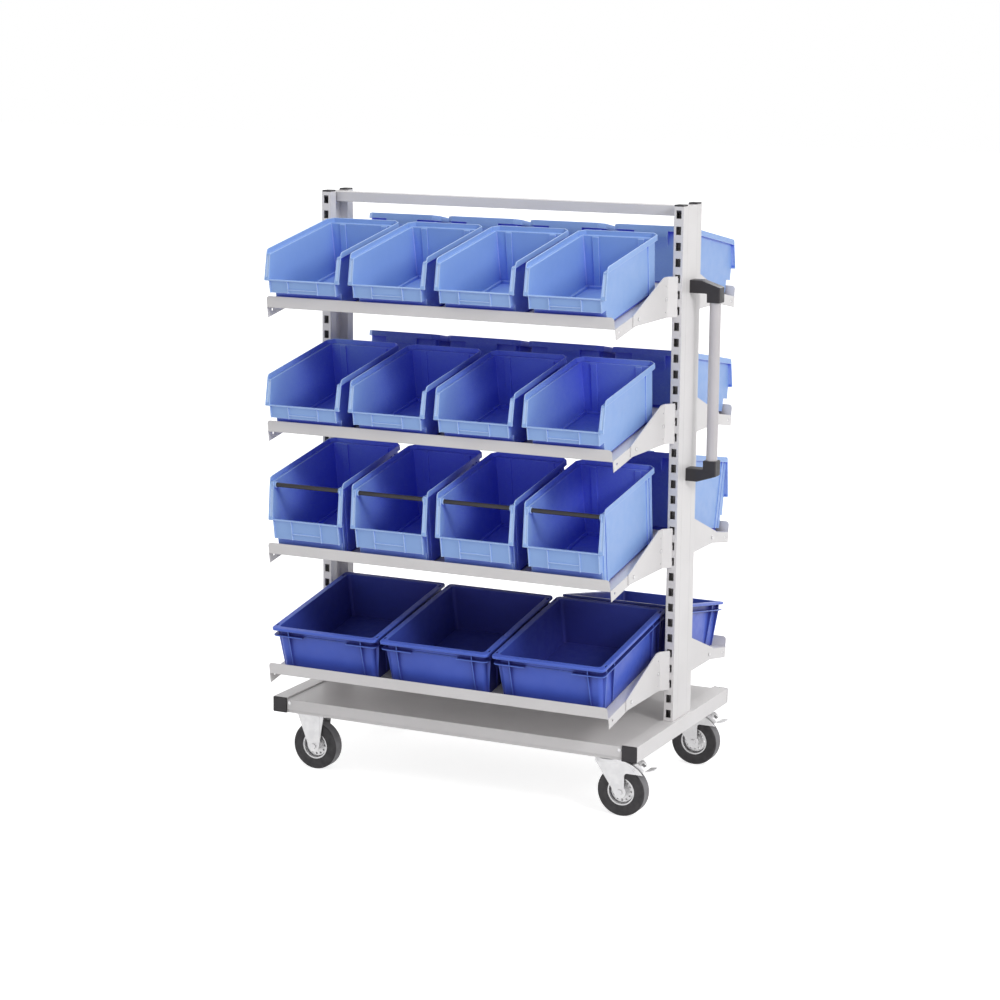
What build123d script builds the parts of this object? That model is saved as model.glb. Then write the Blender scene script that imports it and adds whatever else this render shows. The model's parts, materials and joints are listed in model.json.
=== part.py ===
from build123d import *
from dataclasses import dataclass
import math
import os

# A double-sided shelf trolley. X runs along it with the push handle at +X, Y runs across it with
# the front at -Y, and Z rises from the floor. All sizes are in millimetres.

# Loads: open-front bins and stacking boxes
bin_width = 210.0
bin_gap = 24.6
bins_per_shelf = 4
box_width = 300.0
box_depth = 400.0
box_height = 120.0
box_gap = 8.8
boxes_per_shelf = 3

# Walls and details of the open-front bins
bin_wall = 2.5
bin_floor = 3.0
bin_rim = 8.0
bin_rim_height = 14.0
bin_draft = 5.0
bin_foot_inset = 6.0
bin_foot_height = 8.0
bin_back_corner = 16.0
bin_wall_corner = 8.0
bin_front_corner = 10.0
bin_lip_sheet = 3.0
bin_apron_inset = 4.0
bin_apron_over_shelf_lip = 14.0
bin_front_flange = 13.0
bin_groove_width = 6.0
bin_groove_depth = 1.5
bin_groove_margin = 6.0
bin_back_strip_width = 90.0
bin_back_strip_height = 36.0
bin_back_strip_foot = 22.0
bin_rib = 3.0
bin_panel_rib = 2.5
bin_panel_field = 80.0
bin_panel_field_foot = 0.36
bin_pilaster_width = 16.0
bin_pilaster_spacing = 120.0
bin_rod_radius = 5.5
bin_rod_boss = 8.5
bin_rod_grip = 5.0
bin_rod_drop = 22.0
bin_rod_setback = 12.0

# Walls and details of the stacking boxes
box_front = 12.5
box_wall = 2.5
box_floor = 3.0
box_flange = 13.0
box_flange_sheet = 7.0
box_flange_round = 2.5
box_band_drop = 23.0
box_band_sheet = 3.0
box_band_inset = 2.0
box_draft = 6.0
box_corner = 12.0
box_rib = 3.0
box_end_rib_insets = (45.0,)
box_side_rib_insets = (27.0, 75.0)
box_grip = 125.0
box_slot_length = 12.0
box_slot_width = 4.0
box_slot_inset = 26.0

# Shelves
shelf_end_margin = 10.2
shelf_tilt = 10.0
shelf_sheet = 1.5
shelf_lip = 28.0
shelf_flange = 28.0
shelf_back_flange = 16.0
shelf_back_margin = 0.5
shelf_middle_gap = 20.0
lip_corner = 9.0
rows = 4
slots_per_row = 8
lowest_hook_slot = 4
shelf_drop = 88.0

# Uprights with their end panels, top beam and caps
slot_pitch = 39.0
slot_count = 33
slot_width = 13.0
slot_height = 20.0
post_width = 25.0
post_depth = 30.0
post_wall = 2.0
post_side_gap = 7.0
frame_depth = 122.0
panel_sheet = 2.0
beam_height = 25.0
beam_depth = 40.0
beam_wall = 1.5
beam_below_top = 1.5
cap_plate = 4.0
cap_edge = 1.0
cap_corner = 2.5
cap_plug = 14.0
cap_clearance = 0.3

# Shelf brackets and their bolts
bracket_sheet = 3.0
bracket_lap = 105.0
bracket_front_rise = 3.0
bracket_top = 6.5
bracket_edge = 15.5
bracket_corner = 15.0
bracket_bend_gap = 21.0
bracket_ledge = 44.0
hooks_per_bracket = 3
hook_height = 12.0
hook_drop = 3.0
bracket_front_bolt = 134.0
bracket_rear_bolt_gap = 10.0
flange_bolt_drop = 13.5
flange_free_hole = 24.0
spare_hole_radius = 2.0
spare_hole_spread = 32.0
bolt_radius = 3.0
bolt_head_radius = 5.0
bolt_head = 3.0
bolt_head_round = 1.5
nut_radius = 5.0
nut_height = 4.0
hole_clearance = 0.25
running_clearance = 0.05
seat_clearance = 0.1

# Base
base_depth = 626.0
tube = 40.0
tube_wall = 2.0
deck_sheet = 2.0
deck_drop = 4.0
deck_lip = 28.0
deck_gap = 1.5
deck_screw_inset = 7.0
deck_screw_drop = 9.0
screw_head = 1.5
channel_width = 118.0
channel_wall = 2.5

# Wheels and axles
wheel_radius = 62.5
tyre_width = 36.0
tyre_shoulder = 5.0
rim_radius = 35.5
rim_lip = 3.5
rim_inset = 1.5
hub_radius = 13.0
hub_clearance = 1.0
web_sheet = 3.0
web_dish = 14.0
web_slope = 3.0
web_hole_radius = 2.75
web_hole_edge = 5.5
web_holes = 12
axle_radius = 5.0
axle_head_radius = 7.5
axle_head = 4.5

# Castor forks, swivel heads and brake pedals
castor_headroom = 30.0
castor_plate_length = 105.0
castor_plate_depth = 85.0
castor_plate = 3.0
castor_plate_corner = 8.0
castor_bolt_inset = 10.5
castor_bolt_radius = 4.0
castor_bolt_head_radius = 6.5
castor_bolt_head = 4.5
castor_edge_gap = 3.0
fork_clearance = 3.0
fork_sheet = 3.0
fork_boss = 16.0
fixed_fork_lead = 50.0
fixed_fork_tail = 30.0
fork_pad_half = 19.0
fork_pad = 1.5
swivel_trail = 35.0
race_radius = 32.0
race_height = 6.0
race_gap = 0.3
crown_height = 10.5
crown_radius = 36.0
kingpin_radius = 6.0
kingpin_head_radius = 10.0
kingpin_head = 3.0
fork_lead = 32.0
fork_brow = 31.0
fork_brow_drop = 10.0
fork_brow_round = 45.0
fork_tail = 13.0
fork_tail_reach = 11.0
fork_tail_drop = 12.0
fork_leg_front = 11.0
fork_corner = 8.0
pedal_pin_ahead = 36.0
pedal_pin_below = 1.0
pedal_pin_radius = 3.0
pedal_side_gap = 2.0
pedal_sheet = 2.5
pedal_heel = 9.0
pedal_ridge = 16.0
pedal_ridge_ahead = 8.0
pedal_slope = 28.0
pedal_slope_drop = 1.0
pedal_reach = 48.0
pedal_tip_rise = 3.0
pedal_tip_round = 11.0
pedal_ear_length = 20.0
pedal_ear_drop = 6.0
pedal_slot_start = 12.0
pedal_slot_length = 9.0
pedal_slot_width = 16.0

# Push handle
handle_mid_height = 1051.0
handle_span = 467.5
handle_offset = 62.0
handle_side_shift = 6.0
handle_tube_radius = 14.0
handle_tube_wall = 2.0
mount_width = 34.0
mount_arm = 32.0
mount_leg = 38.0
mount_shoulder = 30.0
mount_socket = 24.0
mount_round = 3.0
mount_bolt_radius = 4.0
mount_bolt_depth = 20.0
mount_bolt_tip_gap = 2.0

# Places that follow from the sizes above
tilt = math.radians(shelf_tilt)
bin_apron_bottom = shelf_lip + bin_apron_over_shelf_lip
bin_row = bins_per_shelf * bin_width + (bins_per_shelf - 1) * bin_gap
box_row = boxes_per_shelf * box_width + (boxes_per_shelf - 1) * box_gap
shelf_length = max(bin_row, box_row) + 2 * shelf_end_margin
shelf_half = shelf_length / 2
shelf_depth = box_front + box_depth - box_flange - box_draft + shelf_back_margin
shelf_reach = shelf_depth * math.cos(tilt) + shelf_middle_gap / 2
post_x = shelf_half + post_side_gap + post_width / 2
post_outer_x = post_x + post_width / 2
post_length = slot_count * slot_pitch
post_y = frame_depth / 2 - post_depth / 2
post_face_y = -frame_depth / 2
panel_half = frame_depth / 2 - post_depth
castor_height = 2 * wheel_radius + castor_headroom
base_length = 2 * post_x + tube
base_top = castor_height + tube
post_top = base_top + post_length
side_tube_length = base_depth - 2 * cap_plate
deck_half = base_length / 2 - tube
deck_edge = side_tube_length / 2
deck_top = base_top - deck_drop
deck_screw_x = deck_half - deck_screw_inset
deck_screw_z = deck_top - deck_screw_drop
channel_top = deck_top - deck_sheet
castor_x = deck_half - castor_edge_gap - castor_plate_length / 2
castor_y = deck_edge - deck_sheet - deck_gap - channel_width / 2
plate_bottom = castor_height - castor_plate
fork_inner = tyre_width / 2 + fork_clearance
fork_outer = fork_inner + fork_sheet
pedal_pin_x = swivel_trail + pedal_pin_ahead
pedal_pin_z = 2 * wheel_radius - pedal_pin_below
handle_x = post_outer_x + handle_offset
handle_outer_x = handle_x + mount_width / 2
mount_z = handle_mid_height + handle_span / 2
origin_x = (handle_outer_x - base_length / 2) / 2


def block(x0, x1, y0, y1, z0, z1):
    """A rectangular block between two corners."""
    corner = (Align.MIN, Align.MIN, Align.MIN)
    return Pos(x0, y0, z0) * Box(x1 - x0, y1 - y0, z1 - z0, align=corner)


def prism_x(points, x0, x1):
    """A polygon of (y, z) points drawn out along X."""
    face = make_face(Polyline([(x0, y, z) for y, z in points], close=True))
    return extrude(face, x1 - x0, dir=(1, 0, 0))


def prism_y(points, y0, y1):
    """A polygon of (x, z) points drawn out along Y."""
    face = make_face(Polyline([(x, y0, z) for x, z in points], close=True))
    return extrude(face, y1 - y0, dir=(0, 1, 0))


def prism_z(points, z0, z1):
    """A polygon of (x, y) points drawn out along Z."""
    face = make_face(Polyline([(x, y, z0) for x, y in points], close=True))
    return extrude(face, z1 - z0, dir=(0, 0, 1))


def rod_x(x0, x1, y, z, radius):
    """A round bar along X."""
    return Pos((x0 + x1) / 2, y, z) * Rot(0, 90, 0) * Cylinder(radius, x1 - x0)


def rod_y(x, y0, y1, z, radius):
    """A round bar along Y."""
    return Pos(x, (y0 + y1) / 2, z) * Rot(90, 0, 0) * Cylinder(radius, y1 - y0)


def rod_z(x, y, z0, z1, radius):
    """A round bar along Z."""
    return Pos(x, y, (z0 + z1) / 2) * Cylinder(radius, z1 - z0)


def spun(profile):
    """A profile of (radius, along) points spun about the Y axis."""
    face = make_face(Polyline([(radius, along, 0) for radius, along in profile], close=True))
    return revolve(face, Axis.Y)


def spun_ring(inner, outer, width):
    """A plain ring about the Y axis, centred on the origin."""
    half = width / 2
    return spun([(inner, -half), (outer, -half), (outer, half), (inner, half)])


def both_ends(shape):
    """A shape and its mirror image at the other end of the trolley."""
    return [shape, mirror(shape, Plane.YZ)]


def both_sides(shape):
    """A shape and the same shape turned round to the other long side."""
    return [shape, Rot(0, 0, 180) * shape]


def four_corners(shape):
    """A shape at one corner of the trolley, and at the other three."""
    return [part for end in both_ends(shape) for part in both_sides(end)]


def edge_near(shape, axis, place):
    """The edge, along an axis where one is given, whose middle lies nearest to a point."""
    edges = shape.edges().filter_by(axis) if axis else shape.edges()
    return edges.sort_by(lambda edge: (edge.center() - Vector(place)).length)[0]


def slot_z(index):
    """Height of the middle of an upright's slot, counted from the lowest."""
    return base_top + slot_pitch * (index + 0.5)


def hook_slot(row):
    """The slot that takes the top hook of a row's brackets, with row 0 at the top."""
    return lowest_hook_slot + (rows - 1 - row) * slots_per_row


def shelf_z(row):
    """Height of the front edge of a row's shelf plate."""
    return slot_z(hook_slot(row)) - shelf_drop


def on_shelf(row, u, n):
    """Y and Z of a point on a front shelf, u behind its front edge and n above its plate."""
    y = -shelf_reach + u * math.cos(tilt) - n * math.sin(tilt)
    z = shelf_z(row) + u * math.sin(tilt) + n * math.cos(tilt)
    return y, z


def shelf_place(row, rear):
    """Location of a shelf's own frame: X along, Y back from the front edge, Z off the plate."""
    front = Pos(0, -shelf_reach, shelf_z(row)) * Rot(shelf_tilt, 0, 0)
    return Rot(0, 0, 180) * front if rear else front


# Base
def base_side_tubes():
    """The two square tubes across the ends of the base."""
    bore = tube - 2 * tube_wall
    hollow = Box(tube, side_tube_length, tube) - Box(bore, side_tube_length, bore)
    return both_ends(Pos(post_x, 0, castor_height + tube / 2) * hollow)


def cap(width, depth, wall):
    """A plastic cap lying on XY for a tube of that outside and wall, with its plug below it."""
    plate = extrude(RectangleRounded(width, depth, cap_corner), cap_plate)
    plate = chamfer(plate.edges().group_by(Axis.Z)[-1], cap_edge)
    inset = 2 * (wall + cap_clearance)
    return plate + Pos(0, 0, -cap_plug / 2) * Box(width - inset, depth - inset, cap_plug)


def end_caps():
    """The caps of the base's side tubes and of the uprights."""
    base_cap = Rot(90, 0, 0) * cap(tube, tube, tube_wall)
    base = Pos(post_x, -deck_edge, castor_height + tube / 2) * base_cap
    upright = Pos(post_x, -post_y, post_top) * cap(post_width, post_depth, post_wall)
    return four_corners(base) + four_corners(upright)


def base_deck():
    """The sheet deck between the side tubes, with a lip turned down at front and rear."""
    deck = block(-deck_half, deck_half, -deck_edge, deck_edge, channel_top, deck_top)
    lip = block(-deck_half, deck_half, -deck_edge, -deck_edge + deck_sheet, deck_top - deck_lip, deck_top)
    for x in (-deck_screw_x, deck_screw_x):
        lip -= rod_y(x, -deck_edge, -deck_edge + deck_sheet, deck_screw_z, bolt_radius + hole_clearance)
    for part in both_sides(lip):
        deck += part
    return [deck]


def base_cross_channels():
    """The two open channels under the deck that carry the castors."""
    y0 = castor_y - channel_width / 2
    y1 = castor_y + channel_width / 2
    channel = block(-deck_half, deck_half, y0, y1, castor_height, channel_top)
    channel -= block(-deck_half, deck_half, y0 + channel_wall, y1 - channel_wall,
                     castor_height + channel_wall, channel_top)
    for castor in (-castor_x, castor_x):
        for x, y in castor_bolt_places():
            channel -= rod_z(castor + x, castor_y + y, castor_height, castor_height + channel_wall,
                             castor_bolt_radius + hole_clearance)
    for x in (-deck_screw_x, deck_screw_x):
        channel -= rod_y(x, y1 - channel_wall, y1, deck_screw_z, bolt_radius + hole_clearance)
    return both_sides(channel)


# Uprights
def upright_posts():
    """The four hollow uprights, slotted in the face that looks to the front or the rear."""
    bore = Box(post_width - 2 * post_wall, post_depth - 2 * post_wall, post_length)
    post = Box(post_width, post_depth, post_length) - bore
    post = Pos(post_x, -post_y, base_top + post_length / 2) * post
    slot = Box(slot_width, 2 * post_wall, slot_height)
    post -= [Pos(post_x, post_face_y, slot_z(index)) * slot for index in range(slot_count)]
    return four_corners(post)


def end_panels():
    """The sheet that closes the outside of each end frame; the handle's end has its bolt holes."""
    inner_x = post_outer_x - panel_sheet
    panel = block(inner_x, post_outer_x, -panel_half, panel_half, base_top, post_top)
    drilled = panel
    for z in mount_heights():
        drilled -= rod_x(inner_x, post_outer_x, handle_side_shift, z, mount_bolt_radius + hole_clearance)
    return [drilled, mirror(panel, Plane.YZ)]


def top_beam():
    """The hollow beam between the tops of the two end frames."""
    length = 2 * (post_outer_x - panel_sheet)
    bore = Box(length, beam_depth - 2 * beam_wall, beam_height - 2 * beam_wall)
    beam = Box(length, beam_depth, beam_height) - bore
    return [Pos(0, 0, post_top - beam_below_top - beam_height / 2) * beam]


# Shelves and brackets
def rear_bolt_u():
    """Place along the shelf of its rear bolt, which stays clear of the bracket's bend."""
    y = post_face_y - bracket_bend_gap - bracket_rear_bolt_gap
    return (y + shelf_reach - flange_bolt_drop * math.sin(tilt)) / math.cos(tilt)


def shelf():
    """One shelf in its own frame: an upright lip in front, flanges down at the sides and back."""
    plate = block(-shelf_half, shelf_half, 0, shelf_depth, -shelf_sheet, 0)
    lip_half = shelf_half - shelf_sheet
    lip = block(-lip_half, lip_half, 0, shelf_sheet, -shelf_sheet, shelf_lip)
    lip = fillet(lip.edges().filter_by(Axis.Y).group_by(Axis.Z)[-1], lip_corner)
    side = block(lip_half, shelf_half, shelf_sheet, shelf_depth, -shelf_flange, 0)
    for u in (flange_free_hole, bracket_front_bolt, rear_bolt_u()):
        side -= rod_x(lip_half, shelf_half, u, -flange_bolt_drop, bolt_radius + hole_clearance)
    back = block(-shelf_half, shelf_half, shelf_depth - shelf_sheet, shelf_depth, -shelf_back_flange, 0)
    return plate + lip + side + mirror(side, Plane.YZ) + back


def shelves():
    """All shelves, four to a side."""
    one = shelf()
    return [shelf_place(row, rear) * one for rear in (False, True) for row in range(rows)]


def bracket_bolt_places(row):
    """Y and Z of the two bolts of a row's front brackets."""
    return [on_shelf(row, u, -flange_bolt_drop) for u in (bracket_front_bolt, rear_bolt_u())]


def bracket_strip(row):
    """The bracket from above: along the shelf's flange, out past the bend and into the upright."""
    front_y = on_shelf(row, bracket_lap, 0)[0]
    bend_y = post_face_y - bracket_bend_gap
    inner, outer = shelf_half, shelf_half + bracket_sheet
    hook_inner, hook_outer = post_x - bracket_sheet / 2, post_x + bracket_sheet / 2
    end_y = post_face_y + post_wall + seat_clearance + bracket_sheet
    return [(inner, front_y), (outer, front_y), (outer, bend_y), (hook_outer, post_face_y),
            (hook_outer, end_y), (hook_inner, end_y), (hook_inner, post_face_y), (inner, bend_y)]


def bracket_outline(row):
    """The bracket from the side, with its rounded shoulder and its hooks, drawn out along X."""
    top = slot_z(hook_slot(row)) + bracket_top
    bottom = bracket_bolt_places(row)[0][1] - bracket_edge
    front_y, front_z = on_shelf(row, bracket_lap, 0)
    shoulder_y = post_face_y - bracket_ledge
    points = [(front_y, bottom), (front_y, front_z + bracket_front_rise), (shoulder_y, top),
              (post_face_y, top), (post_face_y, bottom)]
    outline = prism_x(points, shelf_half, post_outer_x)
    shoulder = edge_near(outline, Axis.X, ((shelf_half + post_outer_x) / 2, shoulder_y, top))
    outline = fillet(shoulder, bracket_corner)
    tongue_y = post_face_y + post_wall + seat_clearance
    for step in range(hooks_per_bracket):
        foot = slot_z(hook_slot(row) - step) - slot_height / 2
        neck_top = foot + hook_height
        outline += block(shelf_half, post_outer_x, post_face_y, tongue_y, foot, neck_top)
        outline += block(shelf_half, post_outer_x, tongue_y, tongue_y + bracket_sheet,
                         foot - hook_drop, neck_top)
    return outline


def bracket(row):
    """The front right bracket of a row: it laps the shelf's flange and hooks into the upright."""
    outline = bracket_outline(row)
    box = outline.bounding_box()
    plate = prism_z(bracket_strip(row), box.min.Z, box.max.Z) & outline
    bolts = bracket_bolt_places(row)
    holes = [(y, z, bolt_radius + hole_clearance) for y, z in bolts]
    rear_y, rear_z = bolts[1]
    holes += [(rear_y, rear_z + up * spare_hole_spread, spare_hole_radius) for up in (-1, 1)]
    for y, z, radius in holes:
        plate -= rod_x(shelf_half, shelf_half + bracket_sheet, y, z, radius)
    return plate


def shelf_brackets():
    """All brackets, one at each end of each shelf."""
    return [part for row in range(rows) for part in four_corners(bracket(row))]


def shelf_bolt(y, z):
    """A bolt through a shelf's flange and its bracket, with the head outside and the nut inside."""
    x0, x1 = shelf_half - shelf_sheet, shelf_half + bracket_sheet
    bolt = rod_x(x0 - nut_height, x1, y, z, bolt_radius) + rod_x(x1, x1 + bolt_head, y, z, bolt_head_radius)
    bolt = fillet(bolt.edges().group_by(Axis.X)[-1], bolt_head_round)
    face = Plane((x0 - nut_height, y, z), x_dir=(0, 1, 0), z_dir=(1, 0, 0))
    nut = extrude(face * RegularPolygon(nut_radius, 6), nut_height, dir=(1, 0, 0))
    return [bolt, nut - rod_x(x0 - nut_height, x0, y, z, bolt_radius + running_clearance)]


def shelf_bolts():
    """The bolts and nuts of all the shelves."""
    pieces = [piece for row in range(rows) for y, z in bracket_bolt_places(row) for piece in shelf_bolt(y, z)]
    return [part for piece in pieces for part in four_corners(piece)]


# Fasteners of the base and the handle
def castor_bolt_places():
    """X and Y of a castor's four bolts, from the middle of its plate."""
    x = castor_plate_length / 2 - castor_bolt_inset
    y = castor_plate_depth / 2 - castor_bolt_inset
    return [(-x, -y), (x, -y), (x, y), (-x, y)]


def castor_bolt():
    """A castor's bolt with its head under the plate, and its nut in the channel."""
    nut_z = castor_height + channel_wall
    hexagon = RegularPolygon(castor_bolt_head_radius, 6)
    bolt = rod_z(0, 0, plate_bottom, nut_z + castor_bolt_head, castor_bolt_radius)
    bolt += Pos(0, 0, plate_bottom - castor_bolt_head) * extrude(hexagon, castor_bolt_head)
    nut = Pos(0, 0, nut_z) * extrude(hexagon, castor_bolt_head)
    return [bolt, nut - rod_z(0, 0, nut_z, nut_z + castor_bolt_head, castor_bolt_radius + running_clearance)]


def deck_screw():
    """A screw through the deck's front lip into the channel behind it."""
    depth = deck_sheet + deck_gap + channel_wall
    screw = rod_y(deck_screw_x, -deck_edge, -deck_edge + depth, deck_screw_z, bolt_radius)
    return screw + rod_y(deck_screw_x, -deck_edge - screw_head, -deck_edge, deck_screw_z, bolt_head_radius)


def mount_bolt(z):
    """A bolt from inside the end frame, through its panel into a handle mount."""
    inner_x = post_outer_x - panel_sheet
    tip_x = post_outer_x + mount_bolt_depth - mount_bolt_tip_gap
    bolt = rod_x(inner_x, tip_x, handle_side_shift, z, mount_bolt_radius)
    return bolt + rod_x(inner_x - castor_bolt_head, inner_x, handle_side_shift, z, castor_bolt_head_radius)


def frame_bolts():
    """Castor bolts with their nuts, deck screws and the bolts of the handle's mounts."""
    solids = []
    for castor in (-castor_x, castor_x):
        for x, y in castor_bolt_places():
            place = Pos(castor + x, castor_y + y, 0)
            for piece in castor_bolt():
                solids += both_sides(place * piece)
    solids += four_corners(deck_screw())
    return solids + [mount_bolt(z) for z in mount_heights()]


# Push handle
def mount_heights():
    """Heights of the arms of the upper and the lower handle mount."""
    return [handle_mid_height + handle_span / 2, handle_mid_height - handle_span / 2]


def handle_mounts():
    """Two mirrored mounts: an arm out from the end panel that turns into a socket for the tube."""
    leg_x = handle_outer_x - mount_width
    points = [(post_outer_x, mount_z - mount_arm / 2), (post_outer_x, mount_z + mount_arm / 2),
              (post_outer_x + mount_shoulder, mount_z + mount_arm / 2), (handle_outer_x, mount_z),
              (handle_outer_x, mount_z - mount_leg), (leg_x, mount_z - mount_leg),
              (leg_x, mount_z - mount_arm / 2)]
    y0 = handle_side_shift - mount_width / 2
    body = prism_y(points, y0, y0 + mount_width)
    outer = body.edges().filter_by(Axis.Z).group_by(Axis.X)[-1]
    corners = [edge_near(body, Axis.Y, (x, handle_side_shift, z)) for x, z in points[2:4] + points[6:]]
    body = fillet(outer + corners, mount_round)
    foot_z = mount_z - mount_leg
    body -= rod_z(handle_x, handle_side_shift, foot_z, foot_z + mount_socket,
                  handle_tube_radius + seat_clearance)
    body -= rod_x(post_outer_x, post_outer_x + mount_bolt_depth, handle_side_shift, mount_z,
                  mount_bolt_radius + running_clearance)
    return [body, mirror(body, Plane((0, 0, handle_mid_height), z_dir=(0, 0, 1)))]


def handle_tube():
    """The round tube between the mounts, seated in both sockets."""
    length = handle_span - 2 * mount_leg + 2 * mount_socket
    ring = Cylinder(handle_tube_radius, length) - Cylinder(handle_tube_radius - handle_tube_wall, length)
    return [Pos(handle_x, handle_side_shift, handle_mid_height) * ring]


# Castors
def wheel_rim():
    """A pressed rim about the origin, spun about Y: hub, dished web with holes, and rim channel."""
    bore = axle_radius + running_clearance
    channel_inner = rim_radius - rim_lip
    dish_edge = channel_inner - web_slope
    half_dish, half_sheet = web_dish / 2, web_sheet / 2
    hub = spun_ring(bore, hub_radius, 2 * (fork_inner - hub_clearance))
    web = spun([(bore, -half_dish), (dish_edge, -half_dish), (channel_inner, -half_sheet),
                (channel_inner, half_sheet), (dish_edge, half_dish), (bore, half_dish)])
    channel = spun_ring(channel_inner, rim_radius, tyre_width - 2 * rim_inset)
    hole = rod_y(dish_edge - web_hole_edge, -half_dish, half_dish, 0, web_hole_radius)
    return hub + web + channel - [Rot(0, 360 * i / web_holes, 0) * hole for i in range(web_holes)]


def tyre():
    """A solid rubber tyre about the origin with rounded shoulders."""
    ring = spun_ring(rim_radius + seat_clearance, wheel_radius, tyre_width)
    shoulders = ring.edges().filter_by(GeomType.CIRCLE).sort_by(lambda edge: edge.radius)[-2:]
    return fillet(shoulders, tyre_shoulder)


def axle():
    """An axle bolt along Y about the origin, with its head in front and its nut behind."""
    hexagon = RegularPolygon(axle_head_radius, 6)
    front = Plane((0, -fork_outer, 0), x_dir=(1, 0, 0), z_dir=(0, -1, 0))
    back = Plane((0, fork_outer, 0), x_dir=(1, 0, 0), z_dir=(0, 1, 0))
    bolt = rod_y(0, -fork_outer, fork_outer + axle_head, 0, axle_radius)
    bolt += extrude(front * hexagon, axle_head, dir=(0, -1, 0))
    nut = extrude(back * hexagon, axle_head, dir=(0, 1, 0))
    return [bolt, nut - rod_y(0, fork_outer, fork_outer + axle_head, 0, axle_radius + running_clearance)]


def castor_top_plate():
    """The bolting plate of a castor, centred on the origin in X and Y."""
    outline = RectangleRounded(castor_plate_length, castor_plate_depth, castor_plate_corner)
    plate = Pos(0, 0, plate_bottom) * extrude(outline, castor_plate)
    for x, y in castor_bolt_places():
        plate -= rod_z(x, y, plate_bottom, castor_height, castor_bolt_radius + hole_clearance)
    return plate


def front_cheek(points, axle_x):
    """The front side sheet of a fork, with a round end about the axle."""
    sheet = prism_y(points, -fork_outer, -fork_inner)
    sheet += rod_y(axle_x, -fork_outer, -fork_inner, wheel_radius, fork_boss)
    return sheet - rod_y(axle_x, -fork_outer, -fork_inner, wheel_radius, axle_radius + running_clearance)


def fixed_fork():
    """A rigid castor's fork: the bolting plate with a tapering, pressed cheek each side."""
    points = [(-fixed_fork_lead, plate_bottom), (fixed_fork_tail, plate_bottom),
              (fork_boss, wheel_radius), (-fork_boss, wheel_radius)]
    front = front_cheek(points, 0)
    front += block(-fork_pad_half, fork_pad_half, -fork_outer - fork_pad, -fork_outer,
                   wheel_radius + fork_boss, plate_bottom)
    return castor_top_plate() + front + mirror(front, Plane.XZ)


def swivel_head():
    """The fixed head of a swivel castor: bolting plate, upper race and kingpin with its head."""
    race_bottom = plate_bottom - race_height
    head_top = race_bottom - 2 * race_gap - crown_height
    head = castor_top_plate() + rod_z(0, 0, race_bottom, plate_bottom, race_radius)
    head += rod_z(0, 0, head_top, race_bottom, kingpin_radius)
    return head + rod_z(0, 0, head_top - kingpin_head, head_top, kingpin_head_radius)


def swivel_fork():
    """A swivel castor's fork about its swivel axis, with the wheel trailing to +X."""
    top = plate_bottom - race_height - race_gap
    under = top - crown_height
    tail_x, tail_low = pedal_pin_x + fork_tail, pedal_pin_z - fork_tail_drop
    leg_x = swivel_trail + fork_leg_front
    brow = [(swivel_trail, top), (swivel_trail + fork_brow, top - fork_brow_drop)]
    points = [(-fork_lead, top)] + brow + [
        (tail_x, pedal_pin_z), (tail_x + fork_tail_reach, tail_low), (leg_x, tail_low),
        (leg_x, wheel_radius), (swivel_trail - fork_boss, wheel_radius), (-fork_lead, under)]
    front = front_cheek(points, swivel_trail)
    front = fillet(edge_near(front, Axis.Y, (leg_x, -fork_inner, tail_low)), fork_corner)
    for x, z in brow:
        front = fillet(edge_near(front, Axis.Y, (x, -fork_inner, z)), fork_brow_round)
    front -= rod_y(pedal_pin_x, -fork_outer, -fork_inner, pedal_pin_z, pedal_pin_radius + running_clearance)
    crown = block(-fork_lead, swivel_trail, -fork_inner, fork_inner, under, top)
    crown += rod_z(0, 0, under, top, crown_radius)
    crown -= rod_z(0, 0, under, top, kingpin_radius + running_clearance)
    return crown + front + mirror(front, Plane.XZ)


def brake_pedal():
    """A foot brake of folded sheet that turns on its pin between the fork's cheeks."""
    half = fork_inner - pedal_side_gap
    heel = (pedal_pin_x - pedal_heel, pedal_pin_z + pedal_heel)
    ridge = (pedal_pin_x + pedal_ridge_ahead, pedal_pin_z + pedal_ridge)
    fold = (pedal_pin_x + pedal_slope, pedal_pin_z - pedal_slope_drop)
    tip = (pedal_pin_x + pedal_reach, pedal_pin_z + pedal_tip_rise)
    under = [(x, z - pedal_sheet) for x, z in (tip, fold, ridge, heel)]
    tread = prism_y([heel, ridge, fold, tip] + under, -half, half)
    tread = fillet(tread.edges().filter_by(Axis.Z).group_by(Axis.X)[-1], pedal_tip_round)
    slot_x = pedal_pin_x + pedal_slot_start
    tread -= block(slot_x, slot_x + pedal_slot_length, -pedal_slot_width / 2, pedal_slot_width / 2,
                   pedal_pin_z, ridge[1])
    ear_low = pedal_pin_z - pedal_ear_drop
    ear = prism_y([heel, ridge, fold, (pedal_pin_x + pedal_ear_length, ear_low),
                   (pedal_pin_x, ear_low), (heel[0], pedal_pin_z)], -half, -half + pedal_sheet)
    pin = rod_y(pedal_pin_x, -fork_outer, fork_outer, pedal_pin_z, pedal_pin_radius)
    return tread + ear + mirror(ear, Plane.XZ) + pin


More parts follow.
